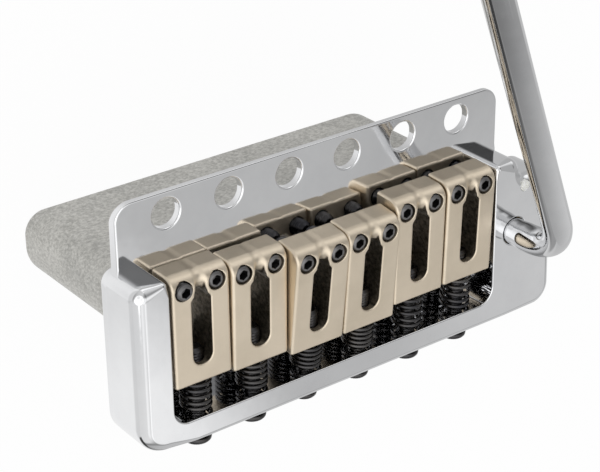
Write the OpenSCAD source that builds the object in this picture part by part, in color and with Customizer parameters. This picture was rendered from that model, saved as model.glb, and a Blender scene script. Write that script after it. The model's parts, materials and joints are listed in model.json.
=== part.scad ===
// Six-saddle guitar tremolo bridge: a tray-shaped plate that rocks on six screws, a heavy block
// under it, six saddles that slide and tilt, and an arm that swings in a bush.
// X runs from the bass side to the treble side, Y towards the neck, Z up out of the guitar's top.
// The origin is on the plate's top face, in the middle of the row of six pivot screw holes.

/* [Strings] */
// Distance between neighbouring strings
string_pitch = 10.5; // [10.2:0.05:11]

/* [Pivot flange] */
// Distance between neighbouring pivot screw holes
pivot_pitch = 11.27; // [10.8:0.01:11.6]
// Diameter of a pivot screw hole
pivot_hole_d = 4.8; // [3.5:0.1:5.4]
// Diameter of the countersink under a pivot screw hole
pivot_sink_d = 6; // [5.5:0.1:7]
// Width of the flange
flange_w = 74; // [70:0.5:74.5]
// Distance from the pivot holes to the flange's front edge
flange_reach = 3.55; // [3.1:0.05:5]
// Thickness of the flange
flange_t = 1.9; // [1.6:0.1:2.6]
// Thickness of the flange at its bevelled front edge
flange_lip_t = 1; // [0.6:0.1:1.5]
// Corner radius of the flange, seen from above
flange_corner_r = 3; // [1.5:0.25:3.5]
// Rounding of the flange's edges
flange_edge_r = 0.3; // [0.1:0.05:0.45]

/* [Tray] */
// Distance from the pivot holes to the front ends of the side walls
wall_front = 7.7; // [6.5:0.1:9]
// Distance from the pivot holes to the tray's rear inner face
tray_depth = 32.6; // [32:0.1:34]
// Gap between the outer saddles' lanes and the side walls
tray_side_gap = 0.6; // [0.4:0.05:1]
// Height of the walls above the tray's floor
wall_h = 6; // [5.8:0.1:7]
// Thickness of the side walls
side_wall_t = 5.9; // [5:0.1:7]
// Thickness of the rear wall
rear_wall_t = 4.1; // [3.8:0.1:5]
// Thickness of the tray's floor
floor_t = 3.6; // [3.2:0.1:5]
// Radius of the tray's inner rear corners
tray_corner_r = 2.8; // [1:0.1:3]
// Radius of the plate's outer corners, seen from above
plate_corner_r = 4; // [2.5:0.25:5]
// Radius of the corners where the side walls end, seen from above
wall_end_r = 2.2; // [1.4:0.1:2.6]
// Rounding of the plate's outer edges
plate_edge_r = 1.2; // [0.5:0.1:1.3]

/* [Arm pad] */
// How far the pad stands out from the treble side wall
pad_w = 7.5; // [7:0.25:12]
// Distance from the pivot holes to the pad's front face
pad_front = 11.3; // [11:0.1:11.5]
// Depth of the pad's underside below the tray's floor
pad_low = 2.4; // [1.5:0.1:3.2]
// Radius of the pad's front corner, seen from above
pad_corner_r = 3.5; // [1.5:0.25:4]
// Thickness of the web that covers the bush
pad_web_t = 1.2; // [0.8:0.1:2]
// Diameter of the nylon plug
plug_d = 2; // [1.6:0.1:2.2]
// Length of the nylon plug below the pad's top
plug_l = 4; // [3:0.5:5]
// Height of the plug's dome above the pad's top
plug_proud = 0.4; // [0.2:0.05:0.8]
// Distance from the arm's axis to the plug, towards the neck
plug_ahead = 7.8; // [6.5:0.1:7.8]
// Distance from the arm's axis to the plug, towards the treble side
plug_aside = 2; // [0.5:0.1:2.5]

/* [Arm] */
// Distance of the arm's axis from the middle of the bridge
arm_x = 36.6; // [36.4:0.1:38]
// Distance of the arm's axis ahead of the block's middle plane
arm_ahead = 0.3; // [0:0.1:0.6]
// Diameter of the arm's shaft in the bush
arm_shaft_d = 4.6; // [4:0.1:4.7]
// Depth of the shaft below the pad's top
arm_shaft_depth = 22; // [16:0.5:26]
// Height of the shaft's straight part above the pad
arm_rise_l = 2.7; // [2:0.1:8]
// Diameter of the arm at its bend
arm_d = 4.9; // [4.8:0.1:5.6]
// Diameter of the arm at its far end
arm_end_d = 4.8; // [4.4:0.1:4.8]
// Length of the arm's long leg
arm_l = 140; // [90:5:160]
// Radius of the arm's bend along its middle
arm_bend_r = 11.2; // [8:0.1:14]
// Angle of the long leg above the plate
arm_slope = 9.8; // [5:0.1:25]
// Direction of the long leg, counted from the treble side towards the neck
arm_heading = 116.7; // [60:0.1:150]
// Diameter of the arm's tip
tip_d = 9; // [7.5:0.5:11]
// Length of the arm's tip
tip_l = 22; // [16:1:30]
// Length of arm inside the tip
tip_grip_l = 14; // [8:1:15]
// Outer diameter of the arm's bush
bush_d = 7.4; // [6.6:0.1:8]
// Length of the bush
bush_l = 23; // [18:0.5:26]
// Diameter of the screw that tightens the bush
tension_screw_d = 4; // [3:0.5:4]
// Height of the tightening screw above the tray's floor
tension_screw_z = 1.2; // [0.5:0.1:1.8]

/* [Block] */
// Height of the block
block_h = 37; // [32:0.5:42]
// Thickness of the block
block_t = 12; // [11.5:0.25:15]
// Distance from the pivot holes to the block's middle plane
block_back = 20.9; // [20.4:0.1:21.5]
// Distance from the bridge's middle to the centre of the block's round bass end
block_bass = 24.8; // [24:0.1:30]
// Distance from the bridge's middle to the centre of the block's round treble end
block_treble = 37.2; // [36.8:0.1:38.5]
// Rounding of the block's lower edge
block_edge_r = 0.9; // [0.4:0.1:1.5]
// Diameter of the screws that hold the block
block_screw_d = 3.5; // [3:0.1:3.5]
// Diameter of those screws' heads
block_head_d = 6.6; // [6:0.1:6.8]
// Length of those screws
block_screw_l = 11; // [9:0.5:12]
// Diameter of a string's hole through the floor and the block's top
string_hole_d = 3; // [2:0.1:3.2]
// Diameter of the bore that takes a string's ball end
ball_bore_d = 5.8; // [4.5:0.1:6]
// Depth of the ball bore's end below the block's top
ball_stop = 11; // [11:0.5:14]
// Distance of the string holes ahead of the block's middle plane
string_ahead = 1.2; // [0.5:0.1:1.8]
// Diameter of the holes that take the return springs
claw_hole_d = 3.2; // [2.5:0.1:3.5]
// Depth of those holes
claw_hole_l = 12; // [8:0.5:14]
// Distance of those holes ahead of the block's middle plane
claw_ahead = 3; // [2:0.1:3.2]

/* [Saddles] */
// Gap between neighbouring saddles
saddle_gap = 0.25; // [0.15:0.05:0.6]
// Length of a saddle
saddle_l = 18.7; // [18.2:0.1:20]
// Thickness of a saddle
saddle_t = 5.5; // [5.2:0.1:5.6]
// Height of a level saddle above the tray's floor
saddle_lift = 0.1; // [0.1:0.05:0.5]
// Radius over which the string bends at the saddle's front
saddle_nose_r = 1.9; // [1:0.1:2]
// Rounding of the saddle's other edges
saddle_edge_r = 0.5; // [0.2:0.05:0.7]
// Width of the slot the string comes up through
slot_w = 3.5; // [3:0.1:3.6]
// Distance from the saddle's tail to the slot
slot_tail = 3; // [2.5:0.1:5]
// Distance from the saddle's tail to the slot's front end
slot_front = 15.6; // [14:0.1:15.8]
// Radius of the metal left round a height screw
lobe_r = 2.3; // [2:0.05:2.4]
// Distance between a saddle's two height screws
height_screw_pitch = 5.92; // [5.8:0.02:6.4]
// Distance from the saddle's nose to its height screws
height_screw_back = 2.4; // [2.3:0.1:3]
// Diameter of a height screw
height_screw_d = 3; // [2.5:0.1:3]
// Width across the flats of the height screws' sockets
hex_af = 1.5; // [1.3:0.1:1.7]
// Depth of the height screws' sockets
hex_l = 1.8; // [1.4:0.1:2]
// Length of the two height screws under string 1, as for the others about flush with its saddle
height_screw_l_1 = 5.2; // [5:0.1:9]
// Length of the two height screws under string 2
height_screw_l_2 = 5.7; // [5:0.1:9]
// Length of the two height screws under string 3
height_screw_l_3 = 7.9; // [5:0.1:9]
// Length of the two height screws under string 4
height_screw_l_4 = 7.4; // [5:0.1:9]
// Length of the two height screws under string 5
height_screw_l_5 = 6; // [5:0.1:9]
// Length of the two height screws under string 6
height_screw_l_6 = 6.1; // [5:0.1:9]
// How far the first string's bass height screw is backed out
backed_out = 0.7; // [0:0.1:1.2]
// Least distance from a height screw's tip to the floor
tip_gap = 0.06; // [0.05:0.01:0.1]
// Greatest tilt of a saddle
tilt_max = 8; // [7:0.5:8]

/* [Saddle settings] */
// Distance of saddle 1's tail from the rear wall
reach_1 = 5.9; // [5:0.05:8]
// Distance of saddle 2's tail from the rear wall
reach_2 = 5.45; // [5:0.05:8]
// Distance of saddle 3's tail from the rear wall
reach_3 = 5.05; // [5:0.05:8]
// Distance of saddle 4's tail from the rear wall
reach_4 = 5; // [5:0.05:8]
// Distance of saddle 5's tail from the rear wall
reach_5 = 6.4; // [5:0.05:8]
// Distance of saddle 6's tail from the rear wall
reach_6 = 6.6; // [5:0.05:8]
// Tilt of saddle 1
tilt_1 = 0; // [0:0.1:7]
// Tilt of saddle 2
tilt_2 = 1.2; // [0:0.1:7]
// Tilt of saddle 3
tilt_3 = 6.9; // [0:0.1:7]
// Tilt of saddle 4
tilt_4 = 5.5; // [0:0.1:7]
// Tilt of saddle 5
tilt_5 = 2.2; // [0:0.1:7]
// Tilt of saddle 6
tilt_6 = 2.5; // [0:0.1:7]

/* [Intonation screws] */
// Diameter of an intonation screw
screw_d = 3; // [2.5:0.1:3]
// Distance from the rear wall's inner face to the screw's end
screw_reach = 10.9; // [10:0.1:17]
// Diameter of the screw's round head
head_d = 4; // [3.8:0.1:4.2]
// Width across the flats of the head's socket
head_hex_af = 2; // [1.5:0.1:2]
// Depth of the head's socket
head_hex_l = 1.4; // [0.8:0.1:1.6]
// Thickness of the spring's wire
wire_d = 0.5; // [0.4:0.05:0.55]
// Outer diameter of a spring
spring_d = 5.2; // [4.8:0.1:5.2]
// Number of turns in a spring
spring_turns = 4; // [3:1:4]
// Least reach of a saddle, with its spring pressed together
reach_min = 4.2; // [3.5:0.1:4.5]

/* [Clearances] */
// Radial clearance of screws, shafts and bushes
fit_gap = 0.05; // [0.03:0.01:0.1]
// Radial clearance of the screw in the rear wall
wall_hole_gap = 0.1; // [0.08:0.01:0.2]
// Gap at the ends of the springs
seat_gap = 0.1; // [0.05:0.01:0.2]

/* [Hidden] */

$fn = 64;
// Facets of the rounded shapes that are not bores
soft_fn = 32;
// Overshoot of a cut past the face it opens
cut = 1;

// Number of strings
strings = 6;
tray_half_w = strings * string_pitch / 2 + tray_side_gap;
plate_half_w = tray_half_w + side_wall_t;
plate_back = tray_depth + rear_wall_t;
pad_half_w = plate_half_w + pad_w;
arm_y = arm_ahead - block_back;
// Height of the screws' axes above the tray's floor
screw_z = saddle_lift + saddle_t / 2;
saddle_w = string_pitch - saddle_gap;
saddle_low = -saddle_t / 2;
saddle_top = saddle_t / 2;
height_screw_y = saddle_l - height_screw_back;
head_r = head_d / 2;
// The middle of a screw's round head stands level with the rear wall's outer face
head_y = -rear_wall_t;
// How far the head sinks when its saddle tilts all the way
head_drop = rear_wall_t * sin(tilt_max);
bush_top = wall_h - pad_web_t;

function string_x(n) = (n - (strings + 1) / 2) * string_pitch;
function reach(n) = [reach_1, reach_2, reach_3, reach_4, reach_5, reach_6][n - 1];
function tilt(n) = [tilt_1, tilt_2, tilt_3, tilt_4, tilt_5, tilt_6][n - 1];
function height_screw_l(n) = [height_screw_l_1, height_screw_l_2, height_screw_l_3,
    height_screw_l_4, height_screw_l_5, height_screw_l_6][n - 1];

// A height screw's flat tip clears the floor by tip_gap also when the saddle slides back at full tilt
tip_flat_r = height_screw_d / 4;
function tip_rise(n) = tip_gap + (reach(n) - reach_min + tip_flat_r) * sin(tilt_max);

// Height of the tip in the saddle's own frame, found from where the tilted saddle stands
function tip_z(n) = -(screw_z + (reach(n) + height_screw_y) * sin(tilt(n)) - tip_rise(n)) / cos(tilt(n));

// Points of an arc round a middle point
function arc(middle, r, from, to, steps = 8) =
    [for (i = [0:steps]) middle + r * [cos(from + (to - from) * i / steps), sin(from + (to - from) * i / steps)]];

// Frame of one string's moving parts: the origin is where the screw's axis meets the rear wall's
// inner face, Y runs along the screw towards the neck
module at_string(n) {
    translate([string_x(n), -tray_depth, screw_z])
        rotate([tilt(n), 0, 0])
            children();
}

// A cylinder along Y, from y = from to y = to
module rod_y(from, to, r) {
    translate([0, from, 0])
        rotate([-90, 0, 0])
            cylinder(h = to - from, r = r);
}

// An upright post with rounded rims, used at the corners of a hull
module post(r, low, high, edge) {
    e = min(edge, r - 0.01);
    translate([0, 0, low])
        rotate_extrude($fn = soft_fn)
            polygon(concat([[0, 0]], arc([r - e, e], e, -90, 0, 5),
                arc([r - e, high - low - e], e, 0, 90, 5), [[0, high - low]]));
}

// The outer form of the tray with its walls
module plate_body() {
    hull() {
        for (side = [-1, 1]) {
            translate([side * (plate_half_w - plate_corner_r), plate_corner_r - plate_back, 0])
                post(plate_corner_r, -floor_t, wall_h, plate_edge_r);
            translate([side * (plate_half_w - wall_end_r), -wall_front - wall_end_r, 0])
                post(wall_end_r, -floor_t, wall_h, plate_edge_r);
        }
    }
}

// The pad that holds the arm's bush
module pad_body() {
    inner = plate_half_w - side_wall_t / 2;
    hull() {
        for (x = [inner, pad_half_w - plate_corner_r])
            translate([x, plate_corner_r - plate_back, 0])
                post(plate_corner_r, -pad_low, wall_h, plate_edge_r);
        for (x = [inner, pad_half_w - pad_corner_r])
            translate([x, -pad_front - pad_corner_r, 0])
                post(pad_corner_r, -pad_low, wall_h, plate_edge_r);
    }
}

// The thin flange with the pivot screw holes, bevelled underneath to a lip
module flange_body() {
    rear = -wall_front - side_wall_t;
    lip_run = flange_reach;
    difference() {
        hull() {
            for (side = [-1, 1]) {
                translate([side * (flange_w / 2 - flange_corner_r), flange_reach - flange_corner_r, 0])
                    post(flange_corner_r, -flange_t, 0, flange_edge_r);
                translate([side * (flange_w / 2 - 1), rear, 0])
                    post(1, -flange_t, 0, flange_edge_r);
            }
        }
        translate([-flange_w, 0, -flange_t])
            rotate([atan((flange_t - flange_lip_t) / lip_run), 0, 0])
                translate([0, 0, -2 * flange_t])
                    cube([2 * flange_w, 3 * flange_reach, 2 * flange_t]);
    }
}

// The hollow of the tray: open towards the neck, with round inner corners
module tray_hollow() {
    h = wall_h + cut;
    r = tray_corner_r;
    translate([-tray_half_w, r - tray_depth, 0])
        cube([2 * tray_half_w, tray_depth - r + cut, h]);
    translate([r - tray_half_w, -tray_depth, 0])
        cube([2 * (tray_half_w - r), r + cut, h]);
    for (side = [-1, 1])
        translate([side * (tray_half_w - r), r - tray_depth, 0])
            cylinder(h = h, r = r);
}

// Seat of one intonation screw: a slot through the rear wall and a round groove for the head
module screw_seat(n) {
    shank_r = screw_d / 2 + wall_hole_gap;
    seat_r = head_r + wall_hole_gap;
    translate([string_x(n), -tray_depth, screw_z]) {
        rod_y(-rear_wall_t - cut, cut, shank_r);
        translate([0, 0, -head_drop])
            rod_y(-rear_wall_t - cut, cut, shank_r);
        translate([-shank_r, -rear_wall_t - cut, -head_drop])
            cube([2 * shank_r, rear_wall_t + 2 * cut, head_drop]);
        translate([0, head_y, 0])
            sphere(r = seat_r);
        translate([0, head_y, -head_drop])
            sphere(r = seat_r);
        translate([0, head_y, -head_drop])
            cylinder(h = head_drop, r = seat_r);
    }
}

// One pivot screw hole with its countersink from below
module pivot_hole(x) {
    sink = (pivot_sink_d - pivot_hole_d) / 2;
    translate([x, 0, -flange_t - cut])
        cylinder(h = flange_t + 2 * cut, d = pivot_hole_d);
    translate([x, 0, -flange_t])
        cylinder(h = sink, d1 = pivot_sink_d, d2 = pivot_hole_d);
}

// Places of the screws that hold the block, midway between strings
module at_block_screws() {
    for (i = [-1, 0, 1])
        translate([2 * i * string_pitch, -block_back, 0])
            children();
}

// A countersunk screw, head up, with its flat top at z = 0
module countersunk(r, head, l) {
    cone_h = head - r;
    cylinder(h = 2 * cone_h, r = r);
    translate([0, 0, -cone_h])
        cylinder(h = cone_h, r1 = r, r2 = head);
    translate([0, 0, -l])
        cylinder(h = l, r = r);
}

module base_plate() {
    color([0.8, 0.81, 0.83])
        difference() {
            union() {
                plate_body();
                pad_body();
                flange_body();
            }
            tray_hollow();
            for (i = [0:5])
                pivot_hole((i - 2.5) * pivot_pitch);
            for (n = [1:strings]) {
                screw_seat(n);
                translate([string_x(n), string_ahead - block_back, -floor_t - cut])
                    cylinder(h = floor_t + 2 * cut, d = string_hole_d);
            }
            at_block_screws() {
                translate([0, 0, -floor_t - cut])
                    cylinder(h = floor_t + 2 * cut, r = block_screw_d / 2 + fit_gap);
                translate([0, 0, block_screw_d / 2 - block_head_d / 2])
                    cylinder(h = block_head_d / 2 - block_screw_d / 2 + 0.001,
                        r1 = block_screw_d / 2 + fit_gap, r2 = block_head_d / 2 + fit_gap);
            }
            arm_holes();
            translate([arm_x + plug_aside, arm_y + plug_ahead, wall_h - plug_l])
                cylinder(h = plug_l + cut, d = plug_d);
        }
}

// Bores for the arm, its bush and the screw that tightens it
module arm_holes() {
    translate([arm_x, arm_y, 0]) {
        translate([0, 0, bush_top - cut])
            cylinder(h = pad_web_t + 2 * cut, r = arm_shaft_d / 2 + 2 * fit_gap);
        translate([0, 0, -floor_t - cut])
            cylinder(h = floor_t + bush_top + cut, r = bush_d / 2 + fit_gap);
        translate([0, 0, tension_screw_z])
            rotate([0, 90, 0])
                cylinder(h = pad_half_w - arm_x + cut, r = tension_screw_d / 2 + fit_gap);
    }
}

module inertia_block() {
    low = -floor_t - block_h;
    color([0.68, 0.67, 0.65])
        difference() {
            hull() {
                for (x = [-block_bass, block_treble])
                    translate([x, -block_back, 0])
                        post(block_t / 2, low, -floor_t, block_edge_r);
            }
            for (n = [1:strings])
                translate([string_x(n), string_ahead - block_back, 0]) {
                    translate([0, 0, low - cut])
                        cylinder(h = block_h + 2 * cut, d = string_hole_d);
                    translate([0, 0, low - cut])
                        cylinder(h = block_h - ball_stop + cut, d = ball_bore_d);
                }
            for (i = [-2:2])
                translate([i * string_pitch, claw_ahead - block_back, low - cut])
                    cylinder(h = claw_hole_l + cut, d = claw_hole_d);
            at_block_screws()
                translate([0, 0, -block_screw_l - fit_gap])
                    cylinder(h = block_screw_l, r = block_screw_d / 2 + fit_gap);
            translate([arm_x, arm_y, bush_top - bush_l - fit_gap])
                cylinder(h = bush_l + cut, r = bush_d / 2 + fit_gap);
        }
}

module block_screws() {
    color([0.75, 0.75, 0.77])
        at_block_screws()
            difference() {
                translate([0, 0, -fit_gap])
                    intersection() {
                        countersunk(block_screw_d / 2, block_head_d / 2, block_screw_l - fit_gap);
                        translate([-block_head_d, -block_head_d, -block_screw_l])
                            cube([2 * block_head_d, 2 * block_head_d, block_screw_l]);
                    }
                translate([-block_head_d * 0.3, -0.4, -0.9])
                    cube([block_head_d * 0.6, 0.8, 1]);
                translate([-0.4, -block_head_d * 0.3, -0.9])
                    cube([0.8, block_head_d * 0.6, 1]);
            }
}

module arm_bush() {
    color([0.78, 0.66, 0.4])
        translate([arm_x, arm_y, bush_top - bush_l])
            difference() {
                cylinder(h = bush_l, d = bush_d);
                translate([0, 0, bush_l - (arm_shaft_depth - pad_web_t) - cut])
                    cylinder(h = bush_l + cut, r = arm_shaft_d / 2 + fit_gap);
            }
}

module arm_tension_screw() {
    from = bush_d / 2 + 2 * fit_gap;
    to = pad_half_w - arm_x - 0.4;
    color([0.2, 0.2, 0.21])
        translate([arm_x, arm_y, tension_screw_z])
            rotate([0, 90, 0])
                difference() {
                    translate([0, 0, from])
                        cylinder(h = to - from, d = tension_screw_d);
                    translate([0, 0, to - hex_af])
                        cylinder(h = 2 * hex_af, d = 2 / cos(30), $fn = 6);
                }
}

module nylon_plug() {
    r = plug_d / 2;
    color([0.95, 0.94, 0.9])
        translate([arm_x + plug_aside, arm_y + plug_ahead, wall_h - plug_l])
            rotate_extrude()
                polygon(concat([[0, 0], [r, 0], [r, plug_l]],
                    [for (i = [1:6]) [r * cos(15 * i), plug_l + plug_proud * sin(15 * i)]]));
}

// Frame at the start of the long leg, Z along the leg
module long_leg_frame() {
    bend = 90 - arm_slope;
    translate([arm_bend_r * (1 - cos(bend)), 0, arm_bend_r * sin(bend)])
        rotate([0, bend, 0])
            children();
}

// The arm's bent rod: a shaft that swells to the bend, the bend, and a long leg that tapers.
// Both straight parts are let a little way into the bend.
module arm() {
    bend = 90 - arm_slope;
    shaft_r = arm_shaft_d / 2;
    joint_r = arm_d / 2 - 0.03;
    into = 0.5;
    color([0.8, 0.81, 0.83])
        translate([arm_x, arm_y, wall_h])
            rotate([0, 0, arm_heading]) {
                rotate_extrude()
                    polygon([[0, -arm_shaft_depth], [shaft_r - 0.6, -arm_shaft_depth],
                        [shaft_r, 0.6 - arm_shaft_depth], [shaft_r, arm_rise_l / 2],
                        [joint_r, arm_rise_l], [joint_r, arm_rise_l + into], [0, arm_rise_l + into]]);
                translate([arm_bend_r, 0, arm_rise_l])
                    rotate([90, 0, 180])
                        rotate_extrude(angle = bend)
                            translate([arm_bend_r, 0])
                                circle(d = arm_d);
                translate([0, 0, arm_rise_l])
                    long_leg_frame()
                        rotate_extrude()
                            polygon([[0, -into], [joint_r, -into], [joint_r, 0.2],
                                [arm_end_d / 2, arm_l], [0, arm_l]]);
            }
}

module arm_tip() {
    r = tip_d / 2;
    neck = r * 0.78;
    color([0.93, 0.92, 0.88])
        translate([arm_x, arm_y, wall_h + arm_rise_l])
            rotate([0, 0, arm_heading])
                long_leg_frame()
                    translate([0, 0, arm_l - tip_grip_l])
                        difference() {
                            rotate_extrude()
                                polygon(concat([[0, 0]], arc([neck - 0.5, 0.5], 0.5, -90, 0, 4),
                                    [[r, tip_l - r]], arc([0, tip_l - r], r, 6, 84, 10), [[0, tip_l]]));
                            translate([0, 0, -cut])
                                cylinder(h = tip_grip_l + cut + fit_gap,
                                    r = arm_d / 2 + fit_gap - (arm_d - arm_end_d) / 2 * (arm_l - tip_grip_l) / arm_l);
                        }
}

// Side outline of a saddle, drawn in by an inset so that stacked slices round its edges
module saddle_outline(inset) {
    nose = max(saddle_nose_r - inset, 0.1);
    tail = max(saddle_edge_r - inset, 0.05);
    low = saddle_low + inset;
    top = saddle_top - inset;
    polygon(concat(
        arc([inset + tail, low + tail], tail, 270, 180, 3),
        arc([inset + tail, top - tail], tail, 180, 90, 4),
        arc([saddle_l - inset - nose, top - nose], nose, 90, 0, 12),
        arc([saddle_l - inset - tail, low + tail], tail, 0, -90, 3)));
}

module saddle_blank() {
    hull() {
        for (step = [0, 30, 60, 90]) {
            inset = saddle_edge_r * (1 - sin(step));
            w = saddle_w - 2 * saddle_edge_r * (1 - cos(step));
            translate([-w / 2, 0, 0])
                rotate([90, 0, 90])
                    linear_extrude(w)
                        saddle_outline(inset);
        }
    }
}

// Slot for the string, narrowed by the metal round the two height screws
module saddle_slot() {
    r = slot_w / 2;
    low = saddle_low - cut;
    h = saddle_t + 2 * cut;
    difference() {
        union() {
            translate([0, slot_tail + r, low])
                cylinder(h = h, r = r);
            translate([0, slot_front - r, low])
                cylinder(h = h, r = r);
            translate([-r, slot_tail + r, low])
                cube([slot_w, slot_front - slot_tail - slot_w, h]);
        }
        for (side = [-1, 1])
            translate([side * height_screw_pitch / 2, height_screw_y, low])
                cylinder(h = h, r = lobe_r);
    }
}

// Valley that leads the string from the slot over the saddle's nose
module string_valley() {
    ridge = [0, saddle_l - saddle_nose_r + 0.2, saddle_top + 0.45];
    hull() {
        translate([0, slot_front - 1.1, saddle_top - 1])
            sphere(r = 1.1, $fn = 24);
        translate(ridge)
            sphere(r = 0.85, $fn = 24);
    }
    hull() {
        translate(ridge)
            sphere(r = 0.85, $fn = 24);
        translate([0, saddle_l + 0.55, saddle_top - saddle_nose_r])
            sphere(r = 0.75, $fn = 24);
    }
}

module saddle(n) {
    color([0.78, 0.72, 0.64])
        at_string(n)
            translate([0, reach(n), 0])
                difference() {
                    saddle_blank();
                    saddle_slot();
                    string_valley();
                    rod_y(-cut, slot_tail + slot_w / 2, screw_d / 2 + fit_gap);
                    for (side = [-1, 1])
                        translate([side * height_screw_pitch / 2, height_screw_y, 0]) {
                            translate([0, 0, saddle_low - cut])
                                cylinder(h = saddle_t + 2 * cut, r = height_screw_d / 2 + fit_gap);
                            translate([0, 0, saddle_top - 0.25])
                                cylinder(h = 0.3, r1 = height_screw_d / 2 + fit_gap, r2 = height_screw_d / 2 + 0.35);
                        }
                }
}

module intonation_screw(n) {
    color([0.13, 0.13, 0.14])
        at_string(n)
            difference() {
                union() {
                    rod_y(head_y, screw_reach, screw_d / 2);
                    translate([0, head_y, 0])
                        sphere(r = head_r);
                }
                translate([0, head_y - head_r - cut, 0])
                    rotate([-90, 0, 0])
                        cylinder(h = head_hex_l + cut, d = head_hex_af / cos(30), $fn = 6);
            }
}

// Middle line of a spring: a straight end along the screw, the turns, and a straight end
function spring_path(n) =
    let (r = spring_d / 2 - wire_d / 2,
         from = seat_gap,
         to = reach(n) - seat_gap,
         steps = 8 * spring_turns,
         rise = to - from - 2 * wire_d)
    concat([[r, from, 0]],
        [for (i = [0:steps])
            let (a = 360 * i / 8)
            [r * cos(a), from + wire_d + rise * i / steps, r * sin(a)]],
        [[r * cos(360 * spring_turns), to, r * sin(360 * spring_turns)]]);

function unit(v) = v / norm(v);

// Least distance from the tube's skin to its own neighbouring turns
function spring_gap(n) =
    let (p = spring_path(n), last = len(p) - 1)
    min([for (i = [0:last - 6], j = [i + 6:last])
        for (s = [0:0.25:0.75], t = [0:0.25:0.75])
            norm(p[i] + (p[min(i + 1, last)] - p[i]) * s - p[j] - (p[min(j + 1, last)] - p[j]) * t)]) - wire_d;

// A tube swept along a path, each ring square to the path
module tube(path, r, sides) {
    last = len(path) - 1;
    rings = [for (i = [0:last])
        let (ahead = i < last ? unit(path[i + 1] - path[i]) : unit(path[i] - path[i - 1]),
             behind = i > 0 ? unit(path[i] - path[i - 1]) : ahead,
             along = unit(ahead + behind),
             out = unit([path[i][0], 0, path[i][2]]),
             u = unit(out - along * (out * along)),
             v = cross(along, u))
        for (k = [0:sides - 1])
            path[i] + r * (cos(360 * k / sides) * u + sin(360 * k / sides) * v)];
    walls = [for (i = [0:last - 1], k = [0:sides - 1])
        let (a = i * sides + k, b = i * sides + (k + 1) % sides)
        each [[a, b + sides, b], [a, a + sides, b + sides]]];
    polyhedron(points = rings,
        faces = concat([[for (k = [0:sides - 1]) k]], walls,
            [[for (k = [sides - 1:-1:0]) last * sides + k]]), convexity = 10);
}

module intonation_spring(n) {
    echo(spring = n, least_gap_mm = spring_gap(n));
    color([0.1, 0.1, 0.11])
        at_string(n)
            tube(spring_path(n), wire_d / 2, 6);
}

// One height screw, side -1 for the bass side and 1 for the treble side
module height_screw(n, side) {
    r = height_screw_d / 2;
    up = n == 1 && side < 0 ? backed_out : 0;
    color([0.2, 0.2, 0.21])
        at_string(n)
            translate([side * height_screw_pitch / 2, reach(n) + height_screw_y, tip_z(n) + up])
                difference() {
                    rotate_extrude()
                        polygon([[0, 0], [tip_flat_r, 0], [r, r - tip_flat_r], [r, height_screw_l(n) - 0.2],
                            [r - 0.2, height_screw_l(n)], [0, height_screw_l(n)]]);
                    translate([0, 0, height_screw_l(n) - hex_l])
                        cylinder(h = hex_l + cut, d = hex_af / cos(30), $fn = 6);
                }
}

base_plate();
inertia_block();
block_screws();
arm_bush();
arm_tension_screw();
nylon_plug();
arm();
arm_tip();
saddle(1);  // saddle_1
saddle(2);  // saddle_2
saddle(3);  // saddle_3
saddle(4);  // saddle_4
saddle(5);  // saddle_5
saddle(6);  // saddle_6
intonation_screw(1);  // intonation_screw_1
intonation_screw(2);  // intonation_screw_2
intonation_screw(3);  // intonation_screw_3
intonation_screw(4);  // intonation_screw_4
intonation_screw(5);  // intonation_screw_5
intonation_screw(6);  // intonation_screw_6
intonation_spring(1);  // intonation_spring_1
intonation_spring(2);  // intonation_spring_2
intonation_spring(3);  // intonation_spring_3
intonation_spring(4);  // intonation_spring_4
intonation_spring(5);  // intonation_spring_5
intonation_spring(6);  // intonation_spring_6
height_screw(1, -1);  // height_screw_1_bass
height_screw(1, 1);  // height_screw_1_treble
height_screw(2, -1);  // height_screw_2_bass
height_screw(2, 1);  // height_screw_2_treble
height_screw(3, -1);  // height_screw_3_bass
height_screw(3, 1);  // height_screw_3_treble
height_screw(4, -1);  // height_screw_4_bass
height_screw(4, 1);  // height_screw_4_treble
height_screw(5, -1);  // height_screw_5_bass
height_screw(5, 1);  // height_screw_5_treble
height_screw(6, -1);  // height_screw_6_bass
height_screw(6, 1);  // height_screw_6_treble
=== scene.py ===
"""A guitar tremolo bridge, dressed: chromed plate, grey block, satin saddles, black screws and springs."""
import json
import math

import bmesh
import bpy
import numpy as np
from mathutils import Matrix, Vector


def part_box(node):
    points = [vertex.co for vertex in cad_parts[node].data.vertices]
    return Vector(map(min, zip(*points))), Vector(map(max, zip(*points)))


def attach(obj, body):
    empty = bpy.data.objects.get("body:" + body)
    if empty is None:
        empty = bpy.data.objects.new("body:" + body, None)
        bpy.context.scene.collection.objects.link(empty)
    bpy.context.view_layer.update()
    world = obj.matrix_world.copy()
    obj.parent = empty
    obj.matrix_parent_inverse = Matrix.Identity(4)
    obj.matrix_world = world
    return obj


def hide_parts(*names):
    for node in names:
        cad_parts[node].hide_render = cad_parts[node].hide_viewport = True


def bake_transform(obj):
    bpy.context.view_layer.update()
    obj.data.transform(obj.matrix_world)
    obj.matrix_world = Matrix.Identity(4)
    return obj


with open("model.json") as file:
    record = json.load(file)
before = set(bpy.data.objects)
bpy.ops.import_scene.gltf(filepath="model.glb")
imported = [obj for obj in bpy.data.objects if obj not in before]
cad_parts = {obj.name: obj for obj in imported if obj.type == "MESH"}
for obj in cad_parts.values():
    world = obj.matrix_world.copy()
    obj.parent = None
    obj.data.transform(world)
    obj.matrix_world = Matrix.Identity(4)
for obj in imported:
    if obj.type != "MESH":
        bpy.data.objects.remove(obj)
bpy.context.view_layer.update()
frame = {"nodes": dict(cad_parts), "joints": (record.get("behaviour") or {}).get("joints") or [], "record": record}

# Sizes in millimetres, in the frame of the CAD model
MM = 0.001
TURN = 2 * math.pi
STRINGS = range(1, 7)
JOINTS = {j["name"]: j for j in frame["joints"]}
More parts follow.
